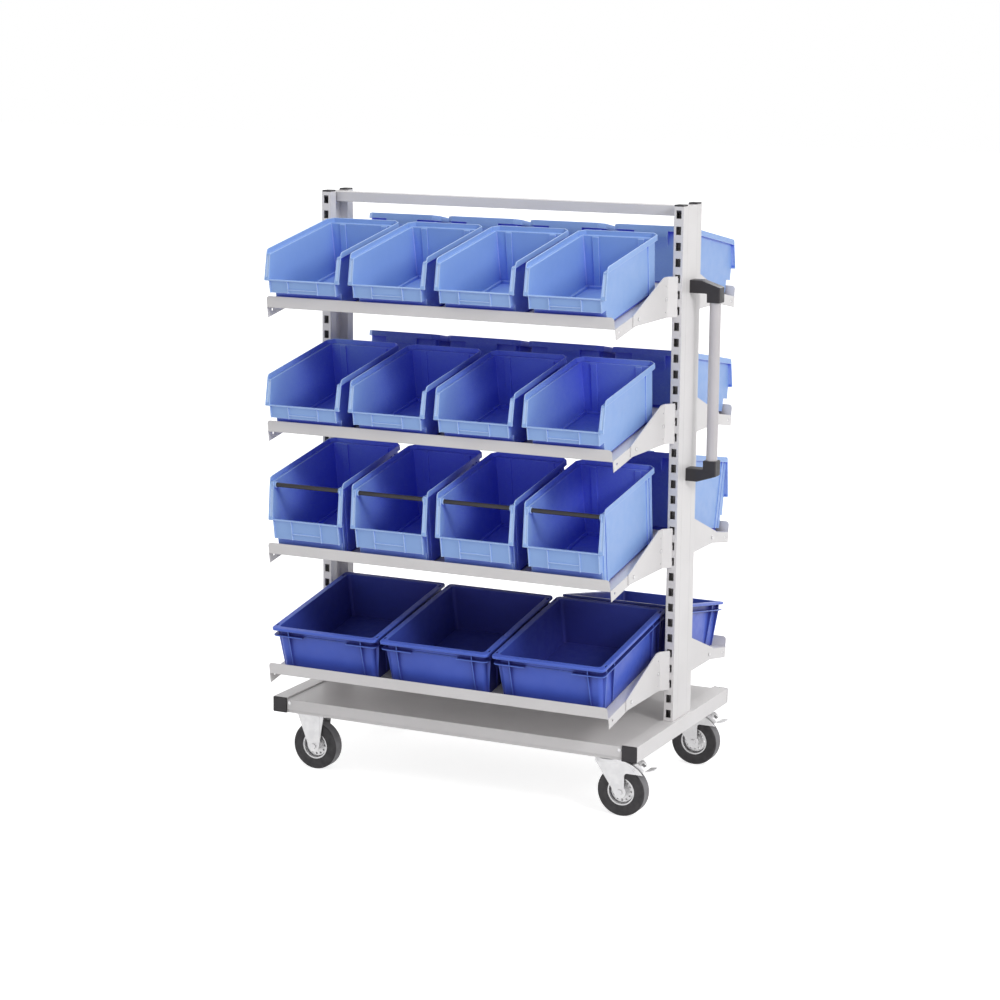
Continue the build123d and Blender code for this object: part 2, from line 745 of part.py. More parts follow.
def castor_nodes():
    """The four castors, by node name: fixed at the left end, swivelling at the handle's end."""
    rim, rubber, bolt = wheel_rim(), tyre(), axle()
    fixed, head, fork, pedal = fixed_fork(), swivel_head(), swivel_fork(), brake_pedal()
    axle_up = Pos(0, 0, wheel_radius)
    side_y = {"front": -castor_y, "rear": castor_y}
    fixed_places = {side: Pos(-castor_x, y, 0) for side, y in side_y.items()}
    swivel_places = {side: Pos(castor_x, y, 0) for side, y in side_y.items()}
    nodes = {
        "fixed_castor_forks": [place * fixed for place in fixed_places.values()],
        "fixed_castor_axles": [place * axle_up * part for place in fixed_places.values() for part in bolt],
        "swivel_castor_heads": [place * head for place in swivel_places.values()],
    }
    for side, place in swivel_places.items():
        axle_place = place * Pos(swivel_trail, 0, 0) * axle_up
        nodes[f"{side}_swivel_fork"] = [place * fork]
        nodes[f"{side}_swivel_axle"] = [axle_place * part for part in bolt]
        nodes[f"{side}_brake_pedal"] = [place * pedal]
        for end, wheel_place in (("fixed", fixed_places[side] * axle_up), ("swivel", axle_place)):
            nodes[f"{side}_{end}_rim"] = [wheel_place * rim]
            nodes[f"{side}_{end}_tyre"] = [wheel_place * rubber]
    return nodes


# Open-front bins
@dataclass
class BinKind:
    """One size of open-front bin in its shelf's frame, with u measured back from the front edge.

    Ribs on the side walls are pairs of distances, from the foot's front or from the back rim."""
    height: float
    back: float
    foot_front: float
    lip_u: float
    lip_height: float
    top_u: float
    front_ribs: tuple
    back_ribs: tuple
    has_rod: bool

    def wall_half(self, z):
        """Half the width over the drafted side walls at a height."""
        return bin_width / 2 - bin_rim - bin_draft * (1 - z / self.height)

    def wall_back(self, z):
        """Place of the outside of the drafted back wall at a height."""
        return self.back - bin_rim - bin_draft * (1 - z / self.height)

    def front_edge(self, z):
        """Place of the sloping front edge of the side walls at a height above the lip."""
        share = (z - self.lip_height) / (self.height - self.lip_height)
        return self.lip_u + share * (self.top_u - self.lip_u)

    def apron_u(self):
        """Place of the outside of the upright apron, which hangs in front of the shelf's lip."""
        return self.lip_u + bin_apron_inset


low_bin = BinKind(height=147.0, back=327.0, foot_front=10.0, lip_u=-19.0, lip_height=76.0, top_u=7.0,
                  front_ribs=(), back_ribs=((26.0, 62.0),), has_rod=False)
tall_bin = BinKind(height=197.0, back=345.0, foot_front=14.0, lip_u=-4.0, lip_height=94.0, top_u=23.0,
                   front_ribs=((4.0, 16.0), (22.0, 34.0)), back_ribs=((24.0, 36.0), (42.0, 54.0)),
                   has_rod=True)


def bin_cross_section(kind, inset, z0, z1):
    """The drafted space between a bin's side walls, drawn out past its front and back."""
    low = kind.wall_half(z0) - inset
    high = kind.wall_half(z1) - inset
    return prism_y([(-low, z0), (low, z0), (high, z1), (-high, z1)], -kind.back, 2 * kind.back)


def bin_rim_plan(kind, inset):
    """The rim band from above, with its two back corners cut off, running past the front."""
    half = bin_width / 2 - inset
    back = kind.back - inset
    cut = bin_back_corner - inset * (2 - math.sqrt(2))
    return [(-half, -kind.back), (half, -kind.back), (half, back - cut), (half - cut, back),
            (-half + cut, back), (-half, back - cut)]


def bin_envelope(kind):
    """The side view of a bin drawn out along X, with the sloping front edge and its rounded top."""
    half = bin_width / 2
    points = [(kind.lip_u, 0), (kind.lip_u, kind.lip_height), (kind.top_u, kind.height),
              (kind.back, kind.height), (kind.back, 0)]
    envelope = prism_x(points, -half, half)
    return fillet(edge_near(envelope, Axis.X, (0, kind.top_u, kind.height)), bin_front_corner)


def bin_tub(kind):
    """The drafted walls and the foot of a bin, still solid."""
    low, high = bin_foot_height, kind.height
    side = [(kind.foot_front, low), (kind.wall_back(low), low), (kind.wall_back(high), high),
            (kind.top_u, high), (kind.lip_u, kind.lip_height), (kind.apron_u(), kind.lip_height),
            (kind.apron_u(), bin_apron_bottom), (kind.foot_front, bin_apron_bottom)]
    tub = prism_x(side, -bin_width / 2, bin_width / 2) & bin_cross_section(kind, 0, low, high)
    middle = (low + high) / 2
    half, back = kind.wall_half(middle), kind.wall_back(middle)
    uprights = [edge_near(tub, None, (x, back, middle)) for x in (-half, half)]
    tub = fillet(uprights, bin_wall_corner)
    return tub + bin_foot(kind, 0, 0, low)


def bin_foot(kind, inset, z0, z1):
    """The inset foot of a bin, or with an inset the space inside it."""
    half = kind.wall_half(bin_foot_height) - bin_foot_inset - inset
    front = kind.foot_front + bin_foot_inset + inset
    back = kind.wall_back(bin_foot_height) - bin_foot_inset - inset
    return block(-half, half, front, back, z0, z1)


def bin_side_rib(kind, u0, u1):
    """An upright rib on the right side wall, from the foot to the rim band."""
    low, high = bin_foot_height, kind.height - bin_rim_height
    points = [(kind.wall_half(low) - bin_wall / 2, low), (kind.wall_half(low) + bin_rib, low),
              (kind.wall_half(high) + bin_rib, high), (kind.wall_half(high) - bin_wall / 2, high)]
    return prism_y(points, u0, u1)


def bin_apron_bar(kind, x0, x1, z0, z1):
    """A bar that stands proud of the apron."""
    return block(x0, x1, kind.apron_u() - bin_panel_rib, kind.apron_u() + bin_wall / 2, z0, z1)


def bin_field_bar(kind):
    """The bar along the foot of the apron's label field."""
    lip_under = kind.lip_height - bin_lip_sheet
    foot = bin_apron_bottom + bin_panel_field_foot * (lip_under - bin_apron_bottom)
    return bin_apron_bar(kind, -bin_panel_field / 2, bin_panel_field / 2, foot - bin_rib, foot)


def bin_right_details(kind):
    """What stands on the right half of a bin: front flange, side ribs and two bars on the apron."""
    half = bin_width / 2
    lip_under = kind.lip_height - bin_lip_sheet
    flange = [(kind.front_edge(z) + depth, z) for z, depth in
              ((lip_under, 0), (kind.height, 0), (kind.height, bin_rib), (lip_under, bin_rib))]
    details = [prism_x(flange, half - bin_front_flange, half)]
    details += [bin_side_rib(kind, kind.foot_front + u0, kind.foot_front + u1) for u0, u1 in kind.front_ribs]
    details += [bin_side_rib(kind, kind.back - u1, kind.back - u0) for u0, u1 in kind.back_ribs]
    for bar_x in (bin_panel_field / 2, kind.wall_half(bin_apron_bottom) - bin_rib):
        details.append(bin_apron_bar(kind, bar_x, bar_x + bin_rib, bin_apron_bottom, lip_under))
    return details


def bin_flange_groove(kind):
    """The shallow channel down the front of the right flange."""
    low, high = kind.lip_height + bin_groove_margin, kind.height - bin_front_corner - bin_groove_margin
    points = [(kind.front_edge(z) + depth, z) for z, depth in
              ((low, -bin_rib), (high, -bin_rib), (high, bin_groove_depth), (low, bin_groove_depth))]
    x0 = bin_width / 2 - bin_front_flange / 2 - bin_groove_width / 2
    return prism_x(points, x0, x0 + bin_groove_width)


def bin_back_strip(kind):
    """The strip that carries the middle of the back rim down into the back wall."""
    high = kind.height - bin_rim_height
    low = high - bin_back_strip_height
    middle = low + bin_back_strip_foot
    points = [(kind.wall_back(low) - bin_wall / 2, low), (kind.wall_back(low), low), (kind.back, middle),
              (kind.back, high), (kind.wall_back(high) - bin_wall / 2, high)]
    return prism_x(points, -bin_back_strip_width / 2, bin_back_strip_width / 2)


def bin_hollows(kind):
    """The spaces inside a bin: in the foot, between the walls up to its lip, and inside the rim band."""
    half, over = bin_width / 2, 2 * kind.height
    step = bin_foot_height + bin_wall
    shoulder = bin_apron_bottom + bin_wall
    foot_inside, apron_inside = kind.foot_front + bin_wall, kind.apron_u() + bin_wall
    back_low, back_high = kind.wall_back(step) - bin_wall, kind.wall_back(kind.height) - bin_wall
    side = [(foot_inside, step), (back_low, step), (back_high, kind.height), (back_high, over), (-over, over),
            (-over, kind.lip_height), (apron_inside, kind.lip_height), (apron_inside, shoulder),
            (foot_inside, shoulder)]
    cavity = prism_x(side, -half, half) & bin_cross_section(kind, bin_wall, step, kind.height)
    ledge = kind.height - bin_rim_height + bin_wall
    rim_space = prism_z(bin_rim_plan(kind, bin_wall), ledge, kind.height)
    return [bin_foot(kind, bin_wall, bin_floor, step), cavity, rim_space]


def bin_pilasters(kind):
    """Two upright strips on the inside of the back wall."""
    low, high = bin_foot_height + bin_wall, kind.height - bin_rim_height
    inside, proud = bin_wall / 2, bin_wall + bin_rib
    points = [(kind.wall_back(z) - depth, z) for z, depth in
              ((low, proud), (low, inside), (high, inside), (high, proud))]
    x0 = bin_pilaster_spacing / 2 - bin_pilaster_width / 2
    return both_ends(prism_x(points, x0, x0 + bin_pilaster_width))


def rod_centre(kind):
    """U and height of the rod across a bin's mouth."""
    z = kind.height - bin_rod_drop
    return kind.front_edge(z) + bin_rod_setback, z


def rod_boss(kind):
    """The socket on the right side wall that holds one end of the rod."""
    u, z = rod_centre(kind)
    inner = kind.wall_half(z) - bin_wall
    boss = rod_x(inner - bin_rod_grip, inner + bin_wall / 2, u, z, bin_rod_boss)
    return boss - rod_x(inner - bin_rod_grip, rod_half(kind), u, z, bin_rod_radius + seat_clearance)


def rod_half(kind):
    """Half the length of the rod, which ends short of the drafted walls."""
    return kind.wall_half(rod_centre(kind)[1] - bin_rod_boss) - bin_wall


def bin_rod(kind):
    """The round bar across the mouth of a bin."""
    u, z = rod_centre(kind)
    return rod_x(-rod_half(kind), rod_half(kind), u, z, bin_rod_radius)


def open_front_bin(kind):
    """A whole open-front bin in its shelf's frame, centred on X = 0."""
    half = bin_width / 2
    lip_under = kind.lip_height - bin_lip_sheet
    body = bin_tub(kind)
    body += block(-half, half, kind.lip_u, kind.apron_u() + bin_wall, lip_under, kind.lip_height)
    body += prism_z(bin_rim_plan(kind, 0), kind.height - bin_rim_height, kind.height)
    for detail in bin_right_details(kind):
        body += both_ends(detail)
    body += bin_field_bar(kind)
    body += bin_back_strip(kind)
    body = body & bin_envelope(kind)
    body -= both_ends(bin_flange_groove(kind))
    for hollow in bin_hollows(kind):
        body -= hollow
    body += bin_pilasters(kind)
    if kind.has_rod:
        body += both_ends(rod_boss(kind))
    return body


# Stacking boxes
def box_half(inset, z):
    """Half the width and half the depth over a box's drafted walls at a height."""
    shrink = box_flange + box_draft * (1 - z / box_height) + inset
    return box_width / 2 - shrink, box_depth / 2 - shrink


def box_block(inset, z0, z1):
    """A drafted, round-cornered block that follows the box's walls between two heights."""
    sections = []
    for z in (z0, z1):
        half_width, half_depth = box_half(inset, z)
        sections.append(Pos(0, 0, z) * RectangleRounded(2 * half_width, 2 * half_depth, box_corner - inset))
    return loft(sections, ruled=True)


def box_flanges():
    """The top flange and the lower band flange, which leaves a gap for the hand at each end."""
    top = extrude(RectangleRounded(box_width, box_depth, box_corner), box_flange_sheet)
    top = fillet(top.edges().group_by(Axis.Z)[-1], box_flange_round)
    band_width, band_depth = box_width - 2 * box_band_inset, box_depth - 2 * box_band_inset
    band = extrude(RectangleRounded(band_width, band_depth, box_corner), box_band_sheet)
    grip_depth = box_depth / 2 - box_flange
    grip = block(-box_grip / 2, box_grip / 2, grip_depth, box_depth, 0, box_band_sheet)
    for part in both_sides(grip):
        band -= part
    return Pos(0, 0, box_height - box_flange_sheet) * top + Pos(0, 0, box_height - box_band_drop) * band


def box_rib_profile(wall_low, wall_high, reach):
    """A rib's outline against a drafted wall, from the foot out to the flange's reach."""
    top = box_height - box_flange_sheet
    inside = box_wall / 2
    return [(wall_low - inside, box_floor), (wall_low + box_rib, box_floor),
            (reach, box_height - box_band_drop), (reach, top), (wall_high - inside, top)]


def box_ribs():
    """Upright ribs under the flanges, near the corners of the ends and of the long sides."""
    low_width, low_depth = box_half(0, box_floor)
    high_width, high_depth = box_half(0, box_height)
    reach_width = box_width / 2 - box_band_inset - box_rib
    reach_depth = box_depth / 2 - box_band_inset - box_rib
    ribs = []
    for inset in box_end_rib_insets:
        x = box_width / 2 - inset
        ribs.append(prism_x(box_rib_profile(low_depth, high_depth, reach_depth), x - box_rib, x))
    for inset in box_side_rib_insets:
        y = box_depth / 2 - inset
        ribs.append(prism_y(box_rib_profile(low_width, high_width, reach_width), y - box_rib, y))
    ribs += [mirror(rib, Plane.YZ) for rib in ribs]
    return ribs + [mirror(rib, Plane.XZ) for rib in ribs]


def stacking_box():
    """A whole stacking box in its shelf's frame, centred on X = 0."""
    body = box_block(0, 0, box_height) + box_flanges()
    body += box_ribs()
    body -= box_block(box_wall, box_floor, box_height)
    slot = Box(box_slot_width, box_slot_length, 2 * box_flange_sheet)
    slot_x, slot_y = box_width / 2 - box_flange / 2, box_depth / 2 - box_slot_inset
    body -= [Pos(x, y, box_height) * slot for x in (-slot_x, slot_x) for y in (-slot_y, slot_y)]
    return Pos(0, box_front + box_depth / 2, 0) * body


# Loads on the shelves
def spread(count, width, gap):
    """Middles of a row of equal things centred on zero, from the handle's end."""
    return [((count - 1) / 2 - index) * (width + gap) for index in range(count)]


# Each row from the top: its load, and how many stand on the front and on the rear shelf, counted
# from the handle's end. The rear shelves of the two lower rows carry one each.
row_loads = [("low_bin", 4, 4), ("low_bin", 4, 4), ("tall_bin", 4, 1), ("stacking_box", 3, 1)]


def load_nodes():
    """Every bin, rod and box at its place, by node name."""
    shapes = {"low_bin": open_front_bin(low_bin), "tall_bin": open_front_bin(tall_bin),
              "stacking_box": stacking_box()}
    rod = bin_rod(tall_bin)
    bin_places = spread(bins_per_shelf, bin_width, bin_gap)
    box_places = spread(boxes_per_shelf, box_width, box_gap)
    nodes = {}
    for row, (kind, front_count, rear_count) in enumerate(row_loads):
        places = box_places if kind == "stacking_box" else bin_places
        for side, count in (("front", front_count), ("rear", rear_count)):
            rear = side == "rear"
            for number, x in enumerate(places[:count], 1):
                place = shelf_place(row, rear) * Pos(-x if rear else x, 0, 0)
                nodes[f"{side}_row{row + 1}_{kind}_{number}"] = [place * shapes[kind]]
                if kind == "tall_bin":
                    nodes[f"{side}_row{row + 1}_rod_{number}"] = [place * rod]
    return nodes


def frame_nodes():
    """The base, uprights, shelves and handle, by node name."""
    return {
        "base_side_tubes": base_side_tubes(),
        "base_deck": base_deck(),
        "base_cross_channels": base_cross_channels(),
        "end_caps": end_caps(),
        "upright_posts": upright_posts(),
        "end_panels": end_panels(),
        "top_beam": top_beam(),
        "shelves": shelves(),
        "shelf_brackets": shelf_brackets(),
        "shelf_bolts": shelf_bolts(),
        "frame_bolts": frame_bolts(),
        "handle_mounts": handle_mounts(),
        "handle_tube": handle_tube(),
    }


def main():
    """Build every node about the middle of the trolley's foot and write it out."""
    os.makedirs("parts", exist_ok=True)
    to_origin = Pos(-origin_x, 0, 0)
    nodes = frame_nodes() | castor_nodes() | load_nodes()
    for name, shapes in nodes.items():
        solids = [solid for shape in shapes for solid in (to_origin * shape).solids()]
        export_step(Compound(children=solids), f"parts/{name}.step")
    print(len(nodes), "nodes, moved along X by", round(-origin_x, 3))


main()
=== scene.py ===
import bpy
import json
import math
from mathutils import Matrix, Vector

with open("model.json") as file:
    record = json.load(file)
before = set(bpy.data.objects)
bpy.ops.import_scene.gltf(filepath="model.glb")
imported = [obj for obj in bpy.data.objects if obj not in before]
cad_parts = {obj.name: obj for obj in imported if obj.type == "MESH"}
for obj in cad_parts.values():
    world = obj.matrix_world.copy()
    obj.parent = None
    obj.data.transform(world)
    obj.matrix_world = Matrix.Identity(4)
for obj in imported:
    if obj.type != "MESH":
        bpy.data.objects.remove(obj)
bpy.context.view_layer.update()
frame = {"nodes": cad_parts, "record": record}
nodes = frame["nodes"]

# Camera of the photo: its place in metres, its angles in degrees and its lens in millimetres
camera_place = (2.72075, -5.8301, 1.9455)
camera_azimuth, camera_elevation, camera_roll = 26.31, 10.33, 0.37
camera_sensor, camera_lens = 36.0, 91.78
camera_shift = (0.03955, -0.02512)

# Lamps: name, place, what each looks at, size in metres and power in watts
lamps = [
    ("key_right", (4.7, -2.4, 3.4), (0.0, 0.0, 0.70), 1.3, 108.0),
    ("fill_low", (0.3, -1.9, 0.42), (0.1, 0.0, 0.28), 0.9, 2.4),
    ("side_low", (3.4, -0.6, 0.9), (0.4, 0.0, 0.5), 1.2, 7.0),
    ("left_soft", (-3.2, -0.9, 1.1), (-0.4, 0.0, 0.6), 1.4, 18.0),
    ("top_soft", (0.2, -0.6, 4.8), (0.0, 0.0, 0.7), 1.8, 32.0),
    ("rim_back", (0.6, 4.8, 3.2), (0.0, 0.0, 0.7), 2.2, 72.0),
]

# World and floor: the floor's glow grows from near to far, in metres from its middle
white = (1.0, 1.0, 1.0)
world_level, world_seen_level = 0.58, 1.0
floor_size = 60.0
floor_colour = (0.62, 0.62, 0.62)
floor_roughness = 0.9
floor_near, floor_far = 1.2, 4.5
floor_near_glow, floor_far_glow = 0.74, 1.0

# All colours below are linear values
# A noise is its scale per metre and its detail, and a bump is its strength and its depth in metres
# A hollow is its reach in metres, its openness where the painted shade is full, and its openness where it
# ends
noise_low, noise_high = 0.35, 0.65
edge_open_full, edge_open_none = 0.70, 0.98
mask_samples = 8

# Powder coat of the frame and of the handle
coat_light, coat_dark = (0.740, 0.722, 0.725), (0.695, 0.677, 0.680)
handle_light, handle_dark = (0.570, 0.545, 0.560), (0.525, 0.500, 0.515)
# Painted shade: the coat is darkened towards a near black in tight hollows and crevices, where shade falls
coat_painted_shade, coat_painted_shade_hollow = (0.085, 0.080, 0.085), (0.03, 0.10, 0.50)
coat_edge_width, coat_edge_level = 0.0012, 0.88
coat_cloud, coat_gloss = (5.0, 4.0), (30.0, 3.0)
coat_peel, coat_peel_bump = (700.0, 2.0), (0.04, 0.0004)
coat_roughness = (0.36, 0.40)
coat_specular = 0.5

# Moulded plastic of any colour
plastic_flow, plastic_flow_stretch = (9.0, 5.0), (1.0, 0.35, 1.0)
# The plastics' outer edges get a painted highlight within this width
plastic_highlight_width = 0.0018
plastic_gloss = (45.0, 4.0)
plastic_grain, plastic_grain_bump = (1600.0, 2.0), (0.08, 0.0004)
plastic_wave, plastic_wave_bump = (14.0, 2.0), (0.06, 0.004)
plastic_specular = 0.38

# Plastic of the bins
bin_light, bin_dark = (0.290, 0.455, 0.820), (0.265, 0.425, 0.790)
# Painted highlight: the bins' outer edges are painted this paler blue
bin_edge_highlight = (0.50, 0.66, 0.94)
bin_roughness = (0.34, 0.48)
# Painted shade: the bins are darkened in crevices, and towards a deep blue in hollows under a roof, where
# shade falls
bin_painted_shade = {
    "crevice_painted_shade": (0.130, 0.230, 0.620), "crevice": (0.02, 0.15, 0.60),
    "deep_painted_shade": (0.075, 0.105, 0.800), "hollow": (0.50, 0.30, 0.70), "roofed": (0.50, 0.02, 0.28),
}

# Plastic of the stacking boxes
box_light, box_dark = (0.072, 0.135, 0.620), (0.060, 0.115, 0.560)
# Painted highlight: the boxes' outer edges are painted this paler blue
box_edge_highlight = (0.13, 0.24, 0.64)
box_roughness = (0.32, 0.46)
# Painted shade: the boxes are darkened in crevices, and towards a deep blue in hollows under a roof, where
# shade falls
box_painted_shade = {
    "crevice_painted_shade": (0.016, 0.018, 0.130), "crevice": (0.03, 0.15, 0.78),
    "deep_painted_shade": (0.030, 0.032, 0.230), "hollow": (0.50, 0.30, 0.80), "roofed": (0.50, 0.02, 0.50),
}

# Black plastic of the caps and handle mounts, and of the bins' rods
black_light, black_dark = (0.034, 0.030, 0.034), (0.022, 0.020, 0.023)
# Painted highlight: the black plastic's outer edges are painted this paler black
black_edge_highlight = (0.085, 0.080, 0.086)
black_roughness, rod_roughness = (0.38, 0.52), (0.34, 0.46)

# Rubber of the tyres: a face is tread or side wall by the share of its normal along the axle
rubber_light, rubber_dark = (0.034, 0.031, 0.034), (0.018, 0.017, 0.019)
# The tread is painted grey, partly as wear and partly as a painted sheen from the side light
tread_wear_and_sheen = (0.19, 0.185, 0.195)
tread_share, side_share = 0.25, 0.60
rubber_bloom, rubber_gloss = (38.0, 6.0), (90.0, 3.0)
rubber_pores, rubber_pores_bump = (700.0, 3.0), (0.18, 0.0006)
rubber_roughness = (0.52, 0.72)

# Zinc plate of the fasteners and castors
zinc_light, zinc_dark = (0.70, 0.695, 0.70), (0.62, 0.615, 0.625)
zinc_cloud, zinc_gloss = (45.0, 5.0), (160.0, 3.0)
zinc_marks, zinc_marks_stretch = (420.0, 2.0), (0.15, 1.0, 1.0)
zinc_marks_bump = (0.05, 0.0003)
zinc_roughness = (0.30, 0.42)
zinc_metallic = 0.8

# Edges: how far each slot's are rounded, in metres, and which ones count as sharp, in degrees
edge_rounding = {
    "grey_coat": 0.0005, "handle_grey": 0.0005, "black_plastic": 0.0012, "black_bar": 0.0006,
    "zinc_steel": 0.0005, "tyre_rubber": 0.0006, "bin_blue": 0.0007, "box_blue": 0.0009,
}
rounding_segments = 2
sharp_angle = 35.0
weld_distance = 0.00001


# Node trees
class Tree:
    """A node tree, with short calls for the nodes that the materials and the world share."""

    def __init__(self, tree):
        self.tree = tree

    def add(self, kind, **settings):
        """Make a node and set its properties."""
        node = self.tree.nodes.new(kind)
        for key, value in settings.items():
            setattr(node, key, value)
        return node

    def link(self, output, target):
        """Feed one node's output into another's socket."""
        self.tree.links.new(output, target)

    def combine(self, operation, first, second):
        """One number made from two."""
        node = self.add("ShaderNodeMath", operation=operation)
        self.link(first, node.inputs[0])
        self.link(second, node.inputs[1])
        return node.outputs["Value"]

    def spread(self, value, low, high, start=noise_low, end=noise_high):
        """Map start to end, which is a noise's middle range unless given, onto low to high."""
        node = self.add("ShaderNodeMapRange")
        for name, number in (("From Min", start), ("From Max", end), ("To Min", low), ("To Max", high)):
            node.inputs[name].default_value = number
        self.link(value, node.inputs["Value"])
        return node.outputs["Result"]

    def seen_directly(self):
        """One for rays that come from the camera, a reflection or glass, zero for light bounces."""
        path = self.add("ShaderNodeLightPath")
        seen = path.outputs["Is Camera Ray"]
        for name in ("Is Glossy Ray", "Is Transmission Ray"):
            seen = self.combine("MAXIMUM", seen, path.outputs[name])
        return seen


class Shader(Tree):
    """A material under construction: its node tree, its main shader and its object coordinates."""

    # A mix node has sockets for several kinds of value, and these are the ones for colours
    mix_first, mix_second, mix_result = 6, 7, 2

    def __init__(self, name):
        self.material = bpy.data.materials.new(name)
        self.material.use_nodes = True
        super().__init__(self.material.node_tree)
        self.main = self.tree.nodes["Principled BSDF"]
        self.coordinates = self.add("ShaderNodeTexCoord").outputs["Object"]

    def stretched(self, scale):
        """Object coordinates scaled differently along each axis."""
        node = self.add("ShaderNodeMapping")
        node.inputs["Scale"].default_value = scale
        self.link(self.coordinates, node.inputs["Vector"])
        return node.outputs["Vector"]

    def noise(self, scale, detail, place=None):
        """A cloudy texture in object coordinates, or in the ones given."""
        node = self.add("ShaderNodeTexNoise")
        node.inputs["Scale"].default_value = scale
        node.inputs["Detail"].default_value = detail
        self.link(place or self.coordinates, node.inputs["Vector"])
        return node.outputs["Fac"]

    def blend(self, share, first, second):
        """Mix two colours, each a fixed colour or another node's output."""
        node = self.add("ShaderNodeMix", data_type="RGBA")
        self.link(share, node.inputs["Factor"])
        for index, colour in ((self.mix_first, first), (self.mix_second, second)):
            if isinstance(colour, tuple):
                node.inputs[index].default_value = (*colour, 1.0)
            else:
                self.link(colour, node.inputs[index])
        return node.outputs[self.mix_result]

    def bump(self, height, strength, depth, after=None):
        """Normals that follow a height, on top of earlier ones where they are given."""
        node = self.add("ShaderNodeBump")
        node.inputs["Strength"].default_value = strength
        node.inputs["Distance"].default_value = depth
        self.link(height, node.inputs["Height"])
        if after:
            self.link(after, node.inputs["Normal"])
        return node.outputs["Normal"]

    def edges(self, width):
        """A mask that is one on outer edges within a width, and zero on open faces."""
        node = self.add("ShaderNodeAmbientOcclusion", inside=True, only_local=True, samples=mask_samples)
        node.inputs["Distance"].default_value = width
        return self.spread(node.outputs["AO"], 1.0, 0.0, edge_open_full, edge_open_none)

    def shelter(self, reach, open_full, open_none, overhead=False):
        """A mask that is one in hollows, or with overhead under a roof, and zero in the open."""
        node = self.add("ShaderNodeAmbientOcclusion", samples=mask_samples)
        node.inputs["Distance"].default_value = reach
        if overhead:
            upward = self.add("ShaderNodeCombineXYZ")
            upward.inputs["Z"].default_value = 1.0
            self.link(upward.outputs["Vector"], node.inputs["Normal"])
        return self.spread(node.outputs["AO"], 1.0, 0.0, open_full, open_none)

    def around(self, low, high):
        """A mask that is one where a face looks away from the Y axis, as a tread does."""
        parts = self.add("ShaderNodeSeparateXYZ")
        self.link(self.add("ShaderNodeTexCoord").outputs["Normal"], parts.inputs["Vector"])
        size = self.add("ShaderNodeMath", operation="ABSOLUTE")
        self.link(parts.outputs["Y"], size.inputs[0])
        return self.spread(size.outputs["Value"], 1.0, 0.0, low, high)

    def finish(self, colour, roughness, normal):
        """Feed the main shader and hand over the material."""
        self.link(colour, self.main.inputs["Base Color"])
        self.link(roughness, self.main.inputs["Roughness"])
        self.link(normal, self.main.inputs["Normal"])
        return self.material


# Materials
def powder_coat(name, light, dark):
    """Baked coating: a fine orange peel, faint clouds, rubbed edges and painted shade in tight hollows."""
    shader = Shader(name)
    cloud = shader.spread(shader.noise(*coat_cloud), 0.0, 1.0)
    colour = shader.blend(cloud, dark, light)
    # Painted shade: darken the coat in tight hollows
    colour = shader.blend(shader.shelter(*coat_painted_shade_hollow), colour, coat_painted_shade)
    rubbed = tuple(coat_edge_level * value for value in dark)
    colour = shader.blend(shader.edges(coat_edge_width), colour, rubbed)
    roughness = shader.spread(shader.noise(*coat_gloss), *coat_roughness)
    normal = shader.bump(shader.noise(*coat_peel), *coat_peel_bump)
    shader.main.inputs["Specular IOR Level"].default_value = coat_specular
    return shader.finish(colour, roughness, normal)


def moulded_plastic(name, light, dark, edge_highlight, roughness_range, shade=None):
    """Injection-moulded plastic: faint flow clouds, a fine grain, a painted highlight on outer edges, and
    painted shade in hollows when a shade is given.
    """
    shader = Shader(name)
    flow = shader.noise(*plastic_flow, shader.stretched(plastic_flow_stretch))
    colour = shader.blend(shader.spread(flow, 0.0, 1.0), dark, light)
    # Painted highlight: outer edges are painted paler
    colour = shader.blend(shader.edges(plastic_highlight_width), colour, edge_highlight)
    # Painted shade in crevices, and in hollows that lie under a roof
    if shade:
        colour = shader.blend(shader.shelter(*shade["crevice"]), colour, shade["crevice_painted_shade"])
        hollow = shader.shelter(*shade["hollow"])
        roofed = shader.shelter(*shade["roofed"], overhead=True)
        colour = shader.blend(shader.combine("MULTIPLY", hollow, roofed), colour, shade["deep_painted_shade"])
    roughness = shader.spread(shader.noise(*plastic_gloss), *roughness_range)
    grain = shader.bump(shader.noise(*plastic_grain), *plastic_grain_bump)
    normal = shader.bump(shader.noise(*plastic_wave), *plastic_wave_bump, grain)
    shader.main.inputs["Specular IOR Level"].default_value = plastic_specular
    return shader.finish(colour, roughness, normal)


def rubber(name):
    """Dull black rubber with a dusty bloom, and a grey tread that is partly wear and partly a painted
    sheen.
    """
    shader = Shader(name)
    bloom = shader.spread(shader.noise(*rubber_bloom), 0.0, 1.0)
    colour = shader.blend(bloom, rubber_dark, rubber_light)
    # Grey tread: partly wear, partly painted sheen
    colour = shader.blend(shader.around(tread_share, side_share), colour, tread_wear_and_sheen)
    roughness = shader.spread(shader.noise(*rubber_gloss), *rubber_roughness)
    normal = shader.bump(shader.noise(*rubber_pores), *rubber_pores_bump)
    return shader.finish(colour, roughness, normal)


def zinc_plate(name):
    """Bright zinc plating: cloudy passivation and fine rolling marks."""
    shader = Shader(name)
    cloud = shader.spread(shader.noise(*zinc_cloud), 0.0, 1.0)
    colour = shader.blend(cloud, zinc_dark, zinc_light)
    roughness = shader.spread(shader.noise(*zinc_gloss), *zinc_roughness)
    marks = shader.noise(*zinc_marks, shader.stretched(zinc_marks_stretch))
    normal = shader.bump(marks, *zinc_marks_bump)
    shader.main.inputs["Metallic"].default_value = zinc_metallic
    return shader.finish(colour, roughness, normal)


